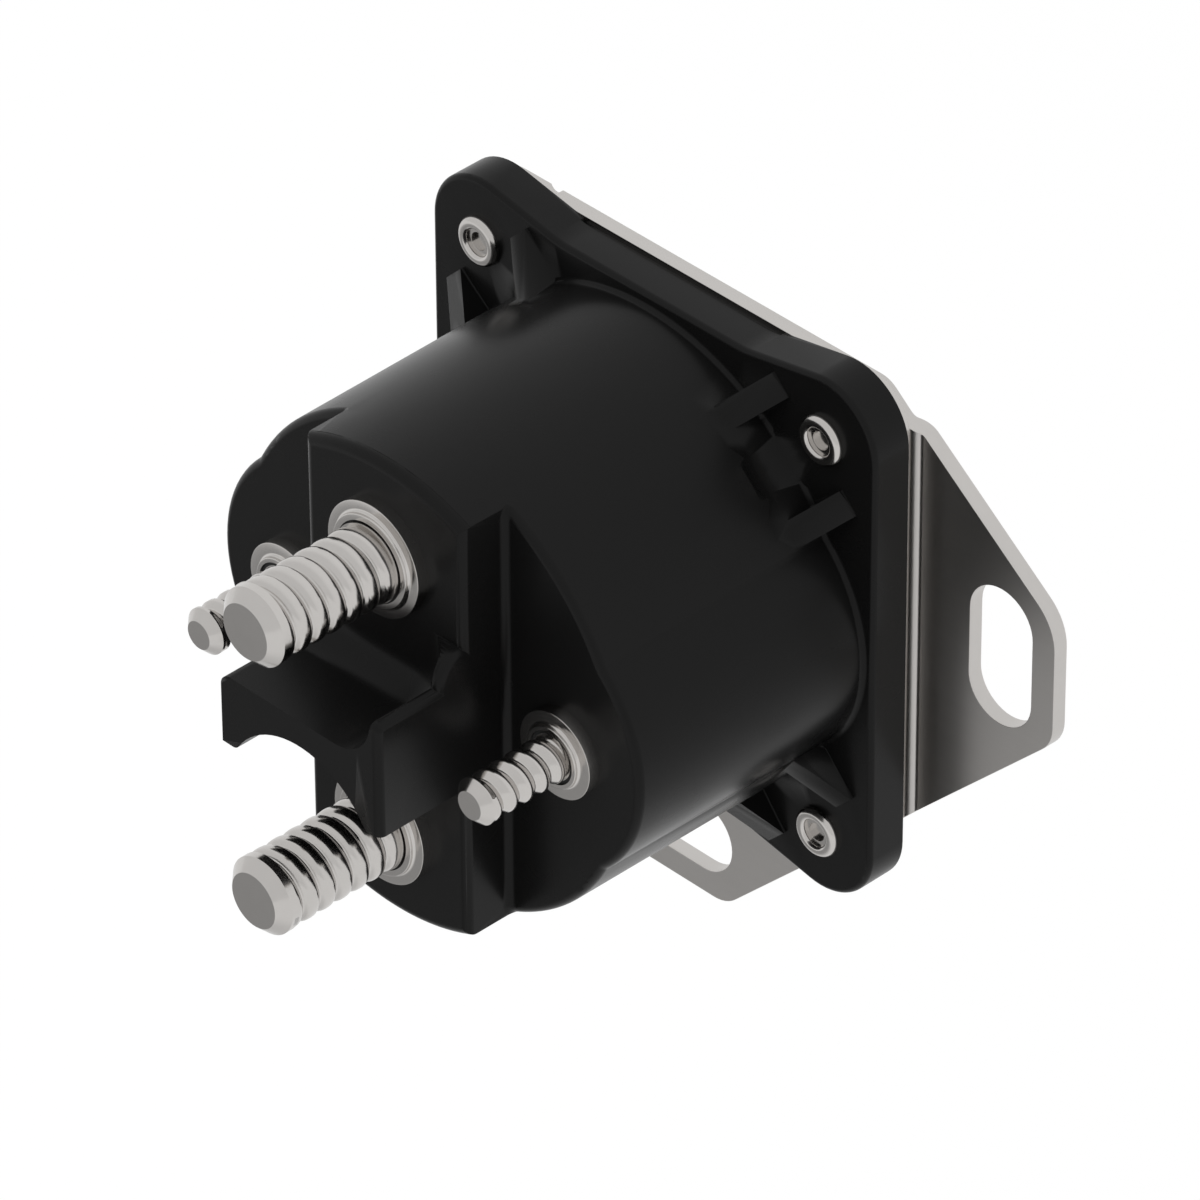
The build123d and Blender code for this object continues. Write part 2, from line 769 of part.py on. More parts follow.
bobbin_start = frame_inner + bobbin_clearance
bobbin_end = pole_back - bobbin_clearance
front_flange = bobbin_end - bobbin_flange_thickness
with BuildPart() as coil_bobbin:
    with BuildSketch(level(bobbin_start)):
        Circle(bobbin_bore + bobbin_wall)
    extrude(amount=bobbin_end - bobbin_start)
    for start in (bobbin_start, front_flange):
        with BuildSketch(level(start)):
            Circle(bobbin_flange_radius)
        extrude(amount=bobbin_flange_thickness)
    with BuildSketch(level(front_flange)):
        Rectangle(2 * bobbin_ear_reach, 2 * bobbin_ear_half_width)
    extrude(amount=bobbin_flange_thickness)
    with BuildSketch(level(bobbin_start)):
        Circle(bobbin_bore)
    extrude(amount=bobbin_end - bobbin_start, mode=Mode.SUBTRACT)
    lead_centre = lead_offset + lead_thickness / 2
    with BuildSketch(level(front_flange)):
        with Locations((lead_centre, 0), (-lead_centre, 0)):
            Rectangle(lead_thickness + 2 * lead_clearance, lead_width + 2 * lead_clearance)
    extrude(amount=bobbin_flange_thickness, mode=Mode.SUBTRACT)
save(coil_bobbin, "coil_bobbin")

with BuildPart() as coil_winding:
    with BuildSketch(level(bobbin_start + bobbin_flange_thickness + bobbin_clearance)):
        Circle(winding_radius)
        Circle(bobbin_bore + bobbin_wall + bobbin_clearance, mode=Mode.SUBTRACT)
    extrude(amount=front_flange - bobbin_start - bobbin_flange_thickness - 2 * bobbin_clearance)
save(coil_winding, "coil_winding")

for name, x in (("left", -lead_centre), ("right", lead_centre)):
    with BuildPart() as lead:
        with BuildSketch(level(lead_start)):
            with Locations((x, 0)):
                Rectangle(lead_thickness, lead_width)
        extrude(amount=coil_head_back - lead_start)
    save(lead, f"coil_lead_{name}")

# Plunger with a pocket for the return spring, and the rod pressed into it
with BuildPart() as plunger:
    with BuildSketch(level(frame_inner)):
        Circle(plunger_radius)
    extrude(amount=plunger_length)
    chamfer(plunger.edges(), plunger_chamfer)
    with BuildSketch(level(plunger_front - spring_pocket_depth)):
        Circle(spring_pocket_radius)
    extrude(amount=spring_pocket_depth, mode=Mode.SUBTRACT)
    with BuildSketch(level(rod_start)):
        Circle(rod_radius + fixed_clearance)
    extrude(amount=rod_grip, mode=Mode.SUBTRACT)
save(plunger, "plunger")

with BuildPart() as push_rod:
    with BuildSketch(level(rod_start)):
        Circle(rod_radius)
    extrude(amount=rod_end - rod_start)
    chamfer(push_rod.faces().sort_by(Axis.Y)[0].edges(), rod_tip_chamfer)
    with BuildSketch(level(rod_flange_back)):
        Circle(rod_flange_radius)
    extrude(amount=rod_flange_thickness)
save(push_rod, "push_rod")

with BuildPart() as retaining_clip:
    with BuildSketch(level(washer_front)):
        Circle(clip_radius)
        Circle(rod_radius + fixed_clearance, mode=Mode.SUBTRACT)
        with Locations((0, -clip_radius)):
            Rectangle(clip_gap, 2 * clip_radius, mode=Mode.SUBTRACT)
    extrude(amount=clip_thickness)
save(retaining_clip, "retaining_clip")

# Moving contact: disc on a flanged bush, with a washer in front
with BuildPart() as contact_bush:
    with BuildSketch(level(bush_back)):
        Circle(bush_flange_radius)
    extrude(amount=bush_flange_thickness)
    with BuildSketch(level(disc_back)):
        Circle(bush_radius)
    extrude(amount=disc_thickness)
    with BuildSketch(level(bush_back)):
        Circle(rod_radius + rod_clearance)
    extrude(amount=disc_front - bush_back, mode=Mode.SUBTRACT)
save(contact_bush, "contact_bush")

with BuildPart() as contact_disc:
    with BuildSketch(level(disc_back)):
        Circle(disc_radius)
        Circle(bush_radius + fixed_clearance, mode=Mode.SUBTRACT)
    extrude(amount=disc_thickness)
save(contact_disc, "contact_disc")

with BuildPart() as contact_washer:
    with BuildSketch(level(disc_front)):
        Circle(washer_radius)
        Circle(rod_radius + rod_clearance, mode=Mode.SUBTRACT)
    extrude(amount=washer_thickness)
save(contact_washer, "contact_washer")


def spring(back, front, wire, turns, coil):
    """Compression spring between two seats on the relay axis."""
    start = back + wire + spring_seat_gap
    height = front - back - 2 * (wire + spring_seat_gap)
    with BuildPart() as coils:
        with BuildLine() as path:
            Helix(
                pitch=height / turns,
                height=height,
                radius=coil,
                center=(0, -start, 0),
                direction=(0, -1, 0),
            )
        with BuildSketch(Plane(origin=path.line @ 0, z_dir=path.line % 0)):
            Circle(wire)
        sweep(is_frenet=True)
    return coils


pocket_floor = plunger_front - spring_pocket_depth
coils = spring(pocket_floor, core_back, return_wire_radius, return_turns, return_coil_radius)
save(coils, "return_spring")
coils = spring(rod_flange_front, bush_back, contact_wire_radius, contact_turns, contact_coil_radius)
save(coils, "contact_spring")
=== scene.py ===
import json
import math
import bmesh
import bpy
from mathutils import Matrix, Vector


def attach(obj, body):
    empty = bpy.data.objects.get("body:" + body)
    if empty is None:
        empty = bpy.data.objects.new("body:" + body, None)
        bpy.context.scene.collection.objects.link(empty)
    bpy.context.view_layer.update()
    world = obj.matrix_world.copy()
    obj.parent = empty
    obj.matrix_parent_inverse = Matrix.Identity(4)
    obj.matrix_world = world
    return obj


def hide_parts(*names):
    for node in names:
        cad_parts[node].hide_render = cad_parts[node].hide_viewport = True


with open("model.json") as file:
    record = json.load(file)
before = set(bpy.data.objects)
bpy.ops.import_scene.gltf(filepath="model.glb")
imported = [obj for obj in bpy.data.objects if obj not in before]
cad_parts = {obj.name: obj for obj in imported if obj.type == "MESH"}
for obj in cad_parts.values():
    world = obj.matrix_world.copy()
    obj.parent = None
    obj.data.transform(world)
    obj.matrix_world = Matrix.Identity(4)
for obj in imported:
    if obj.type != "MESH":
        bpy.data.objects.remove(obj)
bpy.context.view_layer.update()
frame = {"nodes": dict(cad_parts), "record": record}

mm = 0.001
mergeDistance = 0.0005 * mm
seamDistance = 0.005 * mm
planeDistance = 0.0001 * mm

# Where terminals, rivets and faces are, in millimetres from the relay axis and the panel
mainSpacing = 15.0
coilSpacing = 17.7
rivetSpacing = 22.0
bandFace = 41.45
lobeFace = 36.2
flangeFront = 8.2
sheetFront = 2.4
sheetBack = 0.8
print("frame loaded")


# Selecting, applying and finishing
def clearSelection():
    if bpy.context.object and bpy.context.object.mode != "OBJECT":
        bpy.ops.object.mode_set(mode="OBJECT")
    bpy.ops.object.select_all(action="DESELECT")


def pick(piece):
    clearSelection()
    piece.select_set(True)
    bpy.context.view_layer.objects.active = piece


def applyModifier(piece, kind, **settings):
    pick(piece)
    modifier = piece.modifiers.new(kind.title(), kind)
    for setting, value in settings.items():
        setattr(modifier, setting, value)
    bpy.ops.object.modifier_apply(modifier=modifier.name)


def applyPlace(piece):
    pick(piece)
    bpy.ops.object.transform_apply(location=True, rotation=True, scale=True)


def smoothByAngle(piece, degrees):
    pick(piece)
    bpy.ops.object.shade_smooth_by_angle(angle=math.radians(degrees))


def selectWhere(piece, kind, test):
    pick(piece)
    bpy.ops.object.mode_set(mode="EDIT")
    bpy.ops.mesh.select_mode(type=kind)
    bpy.ops.mesh.select_all(action="DESELECT")
    mesh = bmesh.from_edit_mesh(piece.data)
    parts = {"VERT": mesh.verts, "EDGE": mesh.edges, "FACE": mesh.faces}[kind]
    for part in parts:
        part.select_set(test(part))
    mesh.select_flush_mode()
    bmesh.update_edit_mesh(piece.data)


def selectAll(piece):
    selectWhere(piece, "VERT", lambda part: True)


def objectMode():
    bpy.ops.object.mode_set(mode="OBJECT")


# A socket that takes part in plain arithmetic, and a material that is built from such sockets
class Wire:
    def __init__(self, tree, socket):
        self.tree = tree
        self.socket = socket

    def math(self, operation, other, swapped=False):
        node = self.tree.nodes.new("ShaderNodeMath")
        node.operation = operation
        pair = [other, self] if swapped else [self, other]
        for place, value in enumerate(pair):
            if isinstance(value, Wire):
                self.tree.links.new(value.socket, node.inputs[place])
            else:
                node.inputs[place].default_value = value
        return Wire(self.tree, node.outputs[0])

    def __add__(self, other):
        return self.math("ADD", other)

    def __radd__(self, other):
        return self.math("ADD", other, swapped=True)

    def __sub__(self, other):
        return self.math("SUBTRACT", other)

    def __rsub__(self, other):
        return self.math("SUBTRACT", other, swapped=True)

    def __mul__(self, other):
        return self.math("MULTIPLY", other)

    def __rmul__(self, other):
        return self.math("MULTIPLY", other, swapped=True)


class Finish:
    def __init__(self, name):
        self.material = bpy.data.materials.new(name)
        self.material.use_nodes = True
        self.tree = self.material.node_tree
        self.tree.nodes.clear()
        self.shader = self.add("ShaderNodeBsdfPrincipled")
        self.output = self.add("ShaderNodeOutputMaterial")
        self.tree.links.new(self.shader.outputs["BSDF"], self.output.inputs["Surface"])
        self.place = self.wire(self.add("ShaderNodeTexCoord"), "Object")

    def wire(self, node, output=0):
        return Wire(self.tree, node.outputs[output])

    # Settings are set before the sockets, because they can change which sockets a node has
    def add(self, kind, settings=None, sockets=None):
        node = self.tree.nodes.new(kind)
        for setting, value in (settings or {}).items():
            setattr(node, setting, value)
        for socket, value in (sockets or {}).items():
            if isinstance(value, Wire):
                self.tree.links.new(value.socket, node.inputs[socket])
            else:
                node.inputs[socket].default_value = value
        return node

    def surface(self, sockets):
        for socket, value in sockets.items():
            if isinstance(value, Wire):
                self.tree.links.new(value.socket, self.shader.inputs[socket])
            else:
                self.shader.inputs[socket].default_value = value

    def noise(self, size, detail=2.0, stretch=(1, 1, 1)):
        spread = self.add("ShaderNodeMapping", {}, {"Vector": self.place, "Scale": stretch})
        sockets = {"Vector": self.wire(spread), "Scale": 1 / size, "Detail": detail}
        return self.wire(self.add("ShaderNodeTexNoise", {}, sockets), "Fac")

    def mix(self, factor, first, second):
        node = self.tree.nodes.new("ShaderNodeMix")
        node.data_type = "RGBA"
        colours = {0: factor, 6: first, 7: second}
        for place, value in colours.items():
            if isinstance(value, Wire):
                self.tree.links.new(value.socket, node.inputs[place])
            else:
                node.inputs[place].default_value = value
        return Wire(self.tree, node.outputs[2])

    def bump(self, height, depth, strength=1.0):
        sockets = {"Height": height, "Distance": depth, "Strength": strength}
        return self.wire(self.add("ShaderNodeBump", {}, sockets), "Normal")


def grey(value, warmth=0.0):
    return (value * (1 + warmth), value, value * (1 - warmth), 1)


# Black phenolic: smooth and fairly glossy
phenolicLook = {
    "colour": 0.0060,
    "warmth": 0.01,
    "roughness": 0.27,
    "roughnessSpread": 0.03,
    "reflection": 0.13,
    "grainSize": 0.9 * mm,
    "grainDepth": 0.0004 * mm,
}


def phenolic():
    finish = Finish("blackPhenolic")
    look = phenolicLook
    patches = finish.noise(6 * mm)
    grain = finish.noise(look["grainSize"])
    finish.surface({
        "Base Color": grey(look["colour"], look["warmth"]),
        "Roughness": look["roughness"] + (patches - 0.5) * look["roughnessSpread"],
        "Specular IOR Level": look["reflection"],
        "Normal": finish.bump(grain, look["grainDepth"]),
    })
    return finish.material


# Zinc plated steel: satin, with fine streaks along the way the sheet was rolled
platingLook = {
    "colour": 0.60,
    "warmth": 0.035,
    "roughness": 0.18,
    "roughnessSpread": 0.03,
    "streakSize": 0.8 * mm,
    "streakDepth": 0.00005 * mm,
}


def plating(name, direction, shade=1.0, roughness=None):
    finish = Finish(name)
    look = platingLook
    stretch = tuple(0.04 if part else 1 for part in direction)
    streaks = finish.noise(look["streakSize"], 3.0, stretch)
    patches = finish.noise(5 * mm)
    dark = grey(look["colour"] * shade * 0.94, look["warmth"])
    light = grey(look["colour"] * shade * 1.04, look["warmth"])
    finish.surface({
        "Base Color": finish.mix(patches * 0.5 + streaks * 0.5, dark, light),
        "Metallic": 1.0,
        "Roughness": (roughness or look["roughness"]) + (streaks - 0.5) * look["roughnessSpread"],
        "Normal": finish.bump(streaks, look["streakDepth"]),
    })
    return finish.material


# Rubber, nylon, wire and copper: one colour with faint patches
def plain(name, colour, roughness, metallic=0.0):
    finish = Finish(name)
    patches = finish.noise(1.5 * mm)
    dark = tuple(part * 0.85 for part in colour[:3]) + (1,)
    finish.surface({
        "Base Color": finish.mix(patches, dark, colour),
        "Metallic": metallic,
        "Roughness": roughness + (patches - 0.5) * 0.1,
    })
    return finish.material


materials = {
    "phenolic": phenolic(),
    "plated_steel": plating("zincBasePlate", (1, 0, 0)),
    "bracket_steel": plating("zincBracket", (1, 0, 0), 1.0, 0.30),
    "rivet_steel": plating("zincRivet", (0, 1, 0)),
    "gasket_rubber": plain("gasketRubber", (0.02, 0.02, 0.02, 1), 0.7),
    "terminal_plating": plating("zincScrew", (0, 0, 0)),
    "coil_terminal_plating": plating("zincCoilScrew", (0, 0, 0)),
    "collar_plating": plating("zincCollar", (0, 0, 0)),
    "seal_rubber": plain("sealRubber", (0.006, 0.006, 0.006, 1), 0.6),
    "magnet_iron": plating("softIron", (0, 0, 1), 0.8),
    "bobbin_plastic": plain("nylon", (0.62, 0.58, 0.48, 1), 0.45),
    "winding_copper": plain("enamelledWire", (0.35, 0.11, 0.03, 1), 0.3),
    "lead_brass": plain("tinnedStrip", (0.60, 0.45, 0.22, 1), 0.3, 1.0),
    "rod_steel": plating("turnedSteel", (0, 1, 0)),
    "spring_steel": plain("springWire", (0.45, 0.45, 0.46, 1), 0.3, 1.0),
    "contact_copper": plain("bareCopper", (0.75, 0.36, 0.22, 1), 0.28, 1.0),
}
slotOf = {part["node"]: part["material_slot"] for part in frame["record"]["subparts"]}
for name, node in frame["nodes"].items():
    node.data.materials.clear()
    node.data.materials.append(materials[slotOf[name]])
print("materials made")


# Copy of a CAD node with its corners merged, free of the node's own keys
def copyNode(name, node):
    source = frame["nodes"][node]
    piece = source.copy()
    piece.data = source.data.copy()
    piece.parent = None
    for key in list(piece.keys()):
        del piece[key]
    piece.name = name
    bpy.context.scene.collection.objects.link(piece)
    selectAll(piece)
    bpy.ops.mesh.remove_doubles(threshold=mergeDistance)
    objectMode()
    return piece


# Shading, body and material of a piece that takes a node's place
def finishPiece(piece, node, degrees):
    smoothByAngle(piece, degrees)
    applyModifier(piece, "WEIGHTED_NORMAL", keep_sharp=True, weight=50)
    piece.data.materials.clear()
    piece.data.materials.append(materials[slotOf[node]])
    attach(piece, "case")
    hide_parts(node)


# Moulding: the CAD shape with smooth shading on its curves
housingLook = {"smoothAngle": 24}
finishPiece(copyNode("housingShell", "housing"), "housing", housingLook["smoothAngle"])
print("moulding made")


# Pressed sheets with their cut edges broken a little
sheetLook = {
    "plate": {"edgeWidth": 0.08, "smoothAngle": 40},
    "bracket": {"edgeWidth": 0.10, "smoothAngle": 30},
    "flatAngle": 0.5,
    "edgeAngle": 38,
}


def makeSheet(name, node, look):
    piece = copyNode(name, node)
    selectAll(piece)
    bpy.ops.mesh.dissolve_limited(angle_limit=math.radians(sheetLook["flatAngle"]))
    objectMode()
    applyModifier(
        piece, "BEVEL", width=look["edgeWidth"] * mm, segments=2, limit_method="ANGLE",
        angle_limit=math.radians(sheetLook["edgeAngle"]), loop_slide=True, use_clamp_overlap=True,
    )
    finishPiece(piece, node, look["smoothAngle"])


makeSheet("basePlateSheet", "base_plate", sheetLook["plate"])
makeSheet("bracketSheet", "mounting_bracket", sheetLook["bracket"])
print("sheets made")


# Pieces are made standing on +Z at the origin, then laid along -Y in their place
def layDown(piece, place):
    piece.rotation_euler = (math.radians(90), 0, 0)
    piece.location = (place[0] * mm, -place[1] * mm, place[2] * mm)
    applyPlace(piece)


# Ring turned from a closed section of (radius, height) points
def turnedRing(name, section, steps):
    clearSelection()
    bpy.ops.mesh.primitive_circle_add(vertices=len(section), radius=mm)
    piece = bpy.context.object
    piece.name = name
    for corner, (radius, height) in zip(piece.data.vertices, section):
        corner.co = (radius * mm, 0, height * mm)
    selectAll(piece)
    bpy.ops.mesh.spin(steps=steps, angle=math.tau, center=(0, 0, 0), axis=(0, 0, 1))
    bpy.ops.mesh.select_all(action="SELECT")
    bpy.ops.mesh.remove_doubles(threshold=mergeDistance)
    bpy.ops.mesh.delete_loose()
    bpy.ops.mesh.select_all(action="SELECT")
    bpy.ops.mesh.normals_make_consistent(inside=False)
    objectMode()
    return piece


# Points of a rounded corner about a centre, from one angle to another
def arc(centre, radius, start, end, count):
    angles = [math.radians(start + (end - start) * step / count) for step in range(count + 1)]
    return [(centre[0] + radius * math.cos(turn), centre[1] + radius * math.sin(turn)) for turn in angles]


# Washer with a rounded neck around each screw
collarLook = {
    "main": {"radius": 5.83, "height": 1.2, "neck": 4.72, "top": 1.7, "bore": 4.12},
    "coil": {"radius": 4.43, "height": 1.28, "neck": 3.14, "top": 1.78, "bore": 2.71},
    "rimRound": 0.05,
    "footRound": 0.3,
    "lipRound": 0.08,
    "steps": 72,
    "smoothAngle": 40,
}


def collarSection(look):
    edge = collarLook["rimRound"]
    bend = collarLook["footRound"]
    curl = collarLook["lipRound"]
    start = [(look["bore"], 0), (look["radius"], 0)]
    rim = arc((look["radius"] - edge, look["height"] - edge), edge, 0, 90, 3)
    foot = arc((look["neck"] + bend, look["height"] + bend), bend, -90, -170, 8)
    lip = arc((look["neck"] - curl, look["top"] - curl), curl, 10, 90, 4)
    return start + rim + foot + lip + [(look["bore"], look["top"])]


def makeCollar(name, node, x, z, level, look):
    piece = turnedRing(name, collarSection(look), collarLook["steps"])
    layDown(piece, (x, level, z))
    finishPiece(piece, node, collarLook["smoothAngle"])


makeCollar("upperTerminalWasher", "main_collar_upper", 0, mainSpacing, bandFace, collarLook["main"])
makeCollar("lowerTerminalWasher", "main_collar_lower", 0, -mainSpacing, bandFace, collarLook["main"])
makeCollar("leftCoilWasher", "coil_collar_left", -coilSpacing, 0, lobeFace, collarLook["coil"])
makeCollar("rightCoilWasher", "coil_collar_right", coilSpacing, 0, lobeFace, collarLook["coil"])
print("washers made")


# Semi-tubular rivet: rolled rim at the front, a shallow well inside and a plain rim at the back
rivetLook = {
    "shank": 2.0, "rim": 2.55, "roll": 0.6, "mouth": 1.38, "bore": 0.95, "head": 0.8,
    "ledgeDepth": 0.5, "wellDepth": 0.95, "webThickness": 0.8, "mouthRound": 0.4, "backRound": 0.4,
    "rimPlay": 0.02, "steps": 48, "smoothAngle": 40,
}


def rivetSection(look, length):
    head, rim, bore, mouth, shank = (look[key] for key in ("head", "rim", "bore", "mouth", "shank"))
    roll, bend, turn = look["roll"], look["mouthRound"], look["backRound"]
    ledge = head - look["ledgeDepth"]
    floor = head - look["wellDepth"]
    behind = floor - look["webThickness"]
    tail = -length - head
    front = arc((rim - roll, head - roll), roll, -16, 90, 8)
    entry = arc((mouth + bend, head - bend), bend, 90, 180, 6)
    well = [(mouth, ledge), (bore, ledge), (bore, floor), (0, floor)]
    hollow = [(0, behind), (bore, behind), (bore, tail)]
    back = arc((rim - turn, tail + turn), turn, -90, 0, 5)
    outside = [(rim, -length), (shank, -length), (shank, 0), (rim - look["rimPlay"], 0)]
    return front + entry + well + hollow + back + outside


def makeRivet(name, node, x, z, back):
    look = rivetLook
    piece = turnedRing(name, rivetSection(look, flangeFront - back), look["steps"])
    layDown(piece, (x, flangeFront, z))
    finishPiece(piece, node, look["smoothAngle"])


makeRivet("upperLeftRivet", "rivet_upper_left", -rivetSpacing, rivetSpacing, sheetFront)
makeRivet("upperRightRivet", "rivet_upper_right", rivetSpacing, rivetSpacing, sheetBack)
makeRivet("lowerLeftRivet", "rivet_lower_left", -rivetSpacing, -rivetSpacing, sheetBack)
makeRivet("lowerRightRivet", "rivet_lower_right", rivetSpacing, -rivetSpacing, sheetBack)
print("rivets made")


# Terminal screws. One pitch of the thread is (share of the pitch, share of the depth)
screwLook = {"steps": 96, "landPlay": 0.03, "endPlay": 0.1, "shankGap": 0.02, "smoothAngle": 42}
mainThread = {
    "radius": 3.95, "pitch": 2.05, "depth": 0.54, "play": 0.05, "start": 42.9, "end": 58.05,
    "chamfer": 1.12, "land": 0.85, "foot": 0.55,
    "pitchSection": [
        (0.0, 1.0), (0.05, 0.82), (0.12, 0.48), (0.20, 0.2), (0.30, 0.05), (0.42, 0.0), (0.54, 0.0),
        (0.66, 0.05), (0.76, 0.2), (0.84, 0.48), (0.91, 0.82), (0.96, 1.0),
    ],
}
coilThread = {
    "radius": 2.35, "pitch": 1.95, "depth": 0.52, "play": 0.03, "start": 37.73, "end": 47.95,
    "chamfer": 0.9, "land": 0.3, "foot": 0.1,
    "pitchSection": [
        (0.0, 1.0), (0.07, 0.84), (0.32, 0.12), (0.39, 0.0),
        (0.60, 0.0), (0.67, 0.12), (0.90, 0.84), (0.96, 1.0),
    ],
}


# One pitch of the section, turned into a thread and cut square at both ends
def sweepThread(name, look):
    length = look["end"] - look["start"]
    turns = math.ceil(length / look["pitch"]) + 2
    section = look["pitchSection"] + [(1.0, look["pitchSection"][0][1])]
    clearSelection()
    bpy.ops.mesh.primitive_circle_add(vertices=len(section), radius=mm)
    piece = bpy.context.object
    piece.name = name
    crest = look["radius"] - look["play"]
    for corner, (share, depth) in zip(piece.data.vertices, section):
        radius = crest - depth * look["depth"]
        corner.co = (radius * mm, 0, (share - 1) * look["pitch"] * mm)
    # The closing edge of the ring goes, so that the section runs on into the next turn
    ends = {0, len(section) - 1}
    selectWhere(piece, "EDGE", lambda part: {corner.index for corner in part.verts} == ends)
    bpy.ops.mesh.delete(type="EDGE")
    objectMode()
    applyModifier(
        piece, "SCREW", screw_offset=look["pitch"] * mm, iterations=turns,
        steps=screwLook["steps"], render_steps=screwLook["steps"],
    )
    selectAll(piece)
    bpy.ops.mesh.remove_doubles(threshold=seamDistance)
    objectMode()
    for height, cutAbove in ((0, False), (length, True)):
        selectAll(piece)
        bpy.ops.mesh.bisect(
            plane_co=(0, 0, height * mm), plane_no=(0, 0, 1), use_fill=True,
            clear_inner=not cutAbove, clear_outer=cutAbove, threshold=planeDistance,
        )
    bpy.ops.mesh.select_all(action="SELECT")
    bpy.ops.mesh.normals_make_consistent(inside=False)
    objectMode()
    return piece


def makeBar(radius, bottom, top):
    clearSelection()
    bpy.ops.mesh.primitive_cylinder_add(
        vertices=screwLook["steps"], radius=radius * mm, depth=(top - bottom) * mm,
        location=(0, 0, (top + bottom) / 2 * mm),
    )
    bar = bpy.context.object
    applyPlace(bar)
    return bar


# Round bar with the chamfer of the screw, which the thread is trimmed to
def makeStock(look):
    length = look["end"] - look["start"]
    stock = makeBar(look["radius"], 0, length)
    top = (length - 0.001) * mm
    selectWhere(stock, "FACE", lambda part: part.calc_center_median().z > top)
    bpy.ops.mesh.bevel(offset=look["chamfer"] * mm, segments=1, affect="EDGES")
    objectMode()
    return stock


# Plain part of the screw, from one height to another, joined to the thread
def addLand(thread, look, bottom, top):
    land = makeBar(look["radius"] + screwLook["landPlay"], bottom, top)
    applyModifier(thread, "BOOLEAN", operation="UNION", object=land, solver="EXACT")
    bpy.data.objects.remove(land)


def makeScrew(name, node, x, z, look):
    thread = sweepThread(name, look)
    length = look["end"] - look["start"]
    addLand(thread, look, length - look["chamfer"] - look["land"], length + screwLook["endPlay"])
    addLand(thread, look, -screwLook["endPlay"], look["foot"])
    stock = makeStock(look)
    applyModifier(thread, "BOOLEAN", operation="INTERSECT", object=stock, solver="EXACT")
    bpy.data.objects.remove(stock)
    layDown(thread, (x, look["start"], z))
    # The hidden head and shank come from the CAD node, cut off below the thread
    shank = copyNode("shank", node)
    selectAll(shank)
    cut = -(look["start"] + screwLook["shankGap"]) * mm
    bpy.ops.mesh.bisect(plane_co=(0, cut, 0), plane_no=(0, -1, 0), use_fill=True, clear_outer=True)
    objectMode()
    pick(thread)
    shank.select_set(True)
    bpy.ops.object.join()
    finishPiece(thread, node, screwLook["smoothAngle"])


makeScrew("upperTerminalScrew", "main_stud_upper", 0, mainSpacing, mainThread)
makeScrew("lowerTerminalScrew", "main_stud_lower", 0, -mainSpacing, mainThread)
makeScrew("leftCoilScrew", "coil_stud_left", -coilSpacing, 0, coilThread)
makeScrew("rightCoilScrew", "coil_stud_right", coilSpacing, 0, coilThread)
print("screws made")


# Camera at the photograph's angle
cameraPlace = {
    "target": (-0.70 * mm, -13.95 * mm, -4.72 * mm),
    "distance": 944.73 * mm,
    "azimuth": 45.96,
    "elevation": 36.467,
    "roll": -0.344,
    "lens": 309.9,
    "sensor": 36.0,
}


def makeCamera():
    place = cameraPlace
    turn = Matrix.Rotation(math.radians(place["azimuth"]), 4, "Z")
    tilt = Matrix.Rotation(math.radians(90 - place["elevation"]), 4, "X")
    roll = Matrix.Rotation(math.radians(place["roll"]), 4, "Z")
    facing = turn @ tilt @ roll
    back = facing @ Vector((0, 0, 1))
    data = bpy.data.cameras.new("photoCamera")
    data.lens = place["lens"]
    data.sensor_width = place["sensor"]
    data.sensor_fit = "HORIZONTAL"
    data.clip_start = 0.01
    data.clip_end = 20
    camera = bpy.data.objects.new("photoCamera", data)
    camera.matrix_world = Matrix.Translation(Vector(place["target"]) + back * place["distance"]) @ facing
    bpy.context.scene.collection.objects.link(camera)
    bpy.context.scene.camera = camera


makeCamera()


# Pale floor well below the relay
stageLook = {
    "floorLevel": -0.16,
    "floorSize": 8.0,
    "floorColour": 0.8,
    "seenByCamera": 0.85,
    "whiteLevel": 1.04,
    "frontShade": 0.34,
    "backShade": 0.86,
    "shadeCentre": (-0.14, -0.18, -0.16),
    "shadeInner": 0.06,
    "shadeOuter": 0.24,
}


def makeFloor():
    look = stageLook
    clearSelection()
    bpy.ops.mesh.primitive_plane_add(size=look["floorSize"], location=(0, 0, look["floorLevel"]))
    floor = bpy.context.object
    floor.name = "paleFloor"
    applyPlace(floor)
    finish = Finish("paleFloor")
    finish.surface({"Base Color": grey(look["floorColour"]), "Roughness": 0.9})
    path = finish.add("ShaderNodeLightPath")
    camera = finish.wire(path, "Is Camera Ray")
    reflected = finish.wire(path, "Is Glossy Ray") + finish.wire(path, "Is Transmission Ray")
    # Metal sees a pale floor with one softly darker part in front of the relay
    ends = {0: finish.place, 1: look["shadeCentre"]}
    apart = finish.add("ShaderNodeVectorMath", {"operation": "DISTANCE"}, ends)
    shade = finish.add("ShaderNodeMapRange", {"interpolation_type": "SMOOTHSTEP"}, {
        "Value": finish.wire(apart, "Value"),
        "From Min": look["shadeInner"], "From Max": look["shadeOuter"],
        "To Min": look["frontShade"], "To Max": look["backShade"],
    })
    strength = camera * look["whiteLevel"] + reflected * finish.wire(shade)
    seen = camera * look["seenByCamera"] + reflected
    glow = finish.add("ShaderNodeEmission", {}, {"Color": grey(1.0), "Strength": strength})
    mixer = finish.add("ShaderNodeMixShader", {}, {"Fac": seen})
    finish.tree.links.new(finish.shader.outputs["BSDF"], mixer.inputs[1])
    finish.tree.links.new(glow.outputs[0], mixer.inputs[2])
    finish.tree.links.new(mixer.outputs[0], finish.output.inputs["Surface"])
    floor.data.materials.append(finish.material)


makeFloor()


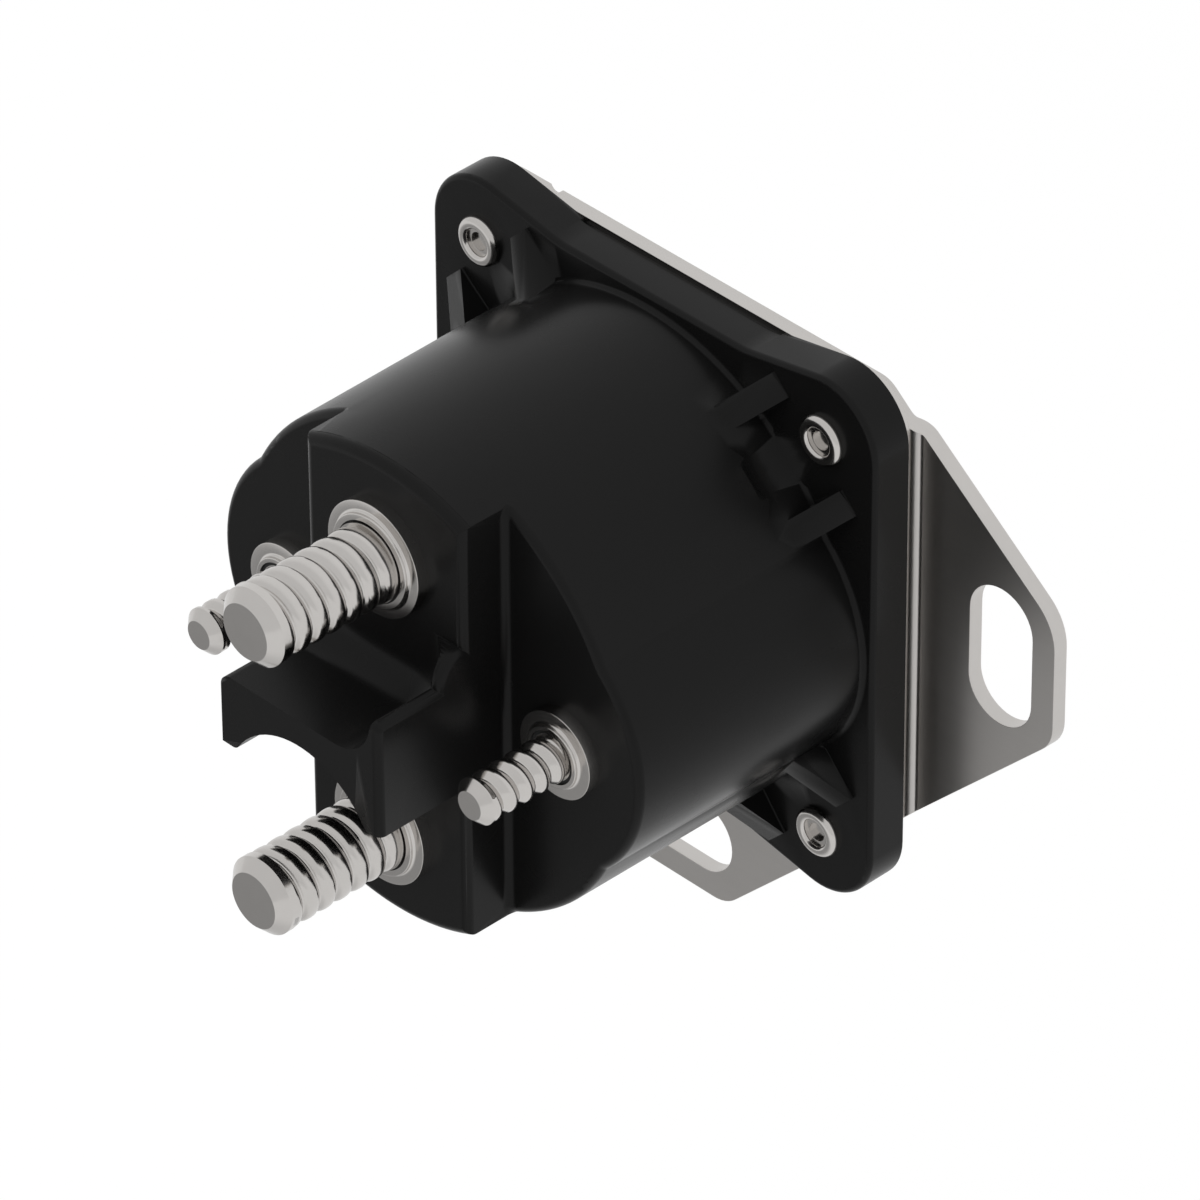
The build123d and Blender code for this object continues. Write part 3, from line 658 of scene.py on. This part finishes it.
# Soft lamps, left out of reflections so that they leave no bright spots on the metal
lamps = {
    "topLamp": {"azimuth": -20, "elevation": 70, "distance": 1.2, "size": 1.7, "power": 6.5},
    "rightLamp": {"azimuth": 95, "elevation": 25, "distance": 1.2, "size": 0.9, "power": 2.5},
    "leftLamp": {"azimuth": -60, "elevation": 20, "distance": 1.2, "size": 0.9, "power": 2.5},
}


def makeLamp(name, place):
    turn = Matrix.Rotation(math.radians(place["azimuth"]), 4, "Z")
    tilt = Matrix.Rotation(math.radians(90 - place["elevation"]), 4, "X")
    facing = turn @ tilt
    data = bpy.data.lights.new(name, "AREA")
    data.shape = "SQUARE"
    data.size = place["size"]
    data.energy = place["power"]
    lamp = bpy.data.objects.new(name, data)
    lamp.matrix_world = Matrix.Translation(facing @ Vector((0, 0, place["distance"]))) @ facing
    lamp.visible_glossy = False
    bpy.context.scene.collection.objects.link(lamp)


for name, place in lamps.items():
    makeLamp(name, place)


# White surround, a little darker where metal reflects it
worldLook = {
    "shade": 0.65,
    "seenByCamera": 1.0,
    "frontShade": 0.74,
    "backShade": 0.86,
    "frontEdge": -0.5,
    "backEdge": 0.45,
}


def makeWorld():
    look = worldLook
    world = bpy.data.worlds.new("softStudio")
    bpy.context.scene.world = world
    world.use_nodes = True
    tree = world.node_tree
    tree.nodes.clear()
    output = tree.nodes.new("ShaderNodeOutputWorld")
    background = tree.nodes.new("ShaderNodeBackground")
    path = tree.nodes.new("ShaderNodeLightPath")
    camera = Wire(tree, path.outputs["Is Camera Ray"])
    glossy = Wire(tree, path.outputs["Is Glossy Ray"])
    reflected = glossy + Wire(tree, path.outputs["Is Transmission Ray"])
    place = tree.nodes.new("ShaderNodeTexCoord")
    apart = tree.nodes.new("ShaderNodeSeparateXYZ")
    tree.links.new(place.outputs["Object"], apart.inputs["Vector"])
    shade = tree.nodes.new("ShaderNodeMapRange")
    shade.interpolation_type = "SMOOTHSTEP"
    tree.links.new(apart.outputs["Y"], shade.inputs["Value"])
    edges = {
        "From Min": look["frontEdge"], "From Max": look["backEdge"],
        "To Min": look["frontShade"], "To Max": look["backShade"],
    }
    for socket, value in edges.items():
        shade.inputs[socket].default_value = value
    diffuse = 1 - camera - reflected
    strength = diffuse * look["shade"] + camera * look["seenByCamera"]
    strength = strength + reflected * Wire(tree, shade.outputs[0])
    tree.links.new(strength.socket, background.inputs["Strength"])
    tree.links.new(background.outputs[0], output.inputs["Surface"])
    background.inputs["Color"].default_value = grey(1.0)


makeWorld()
bpy.context.scene.view_settings.view_transform = "Standard"
print("camera, lamps and floor made")
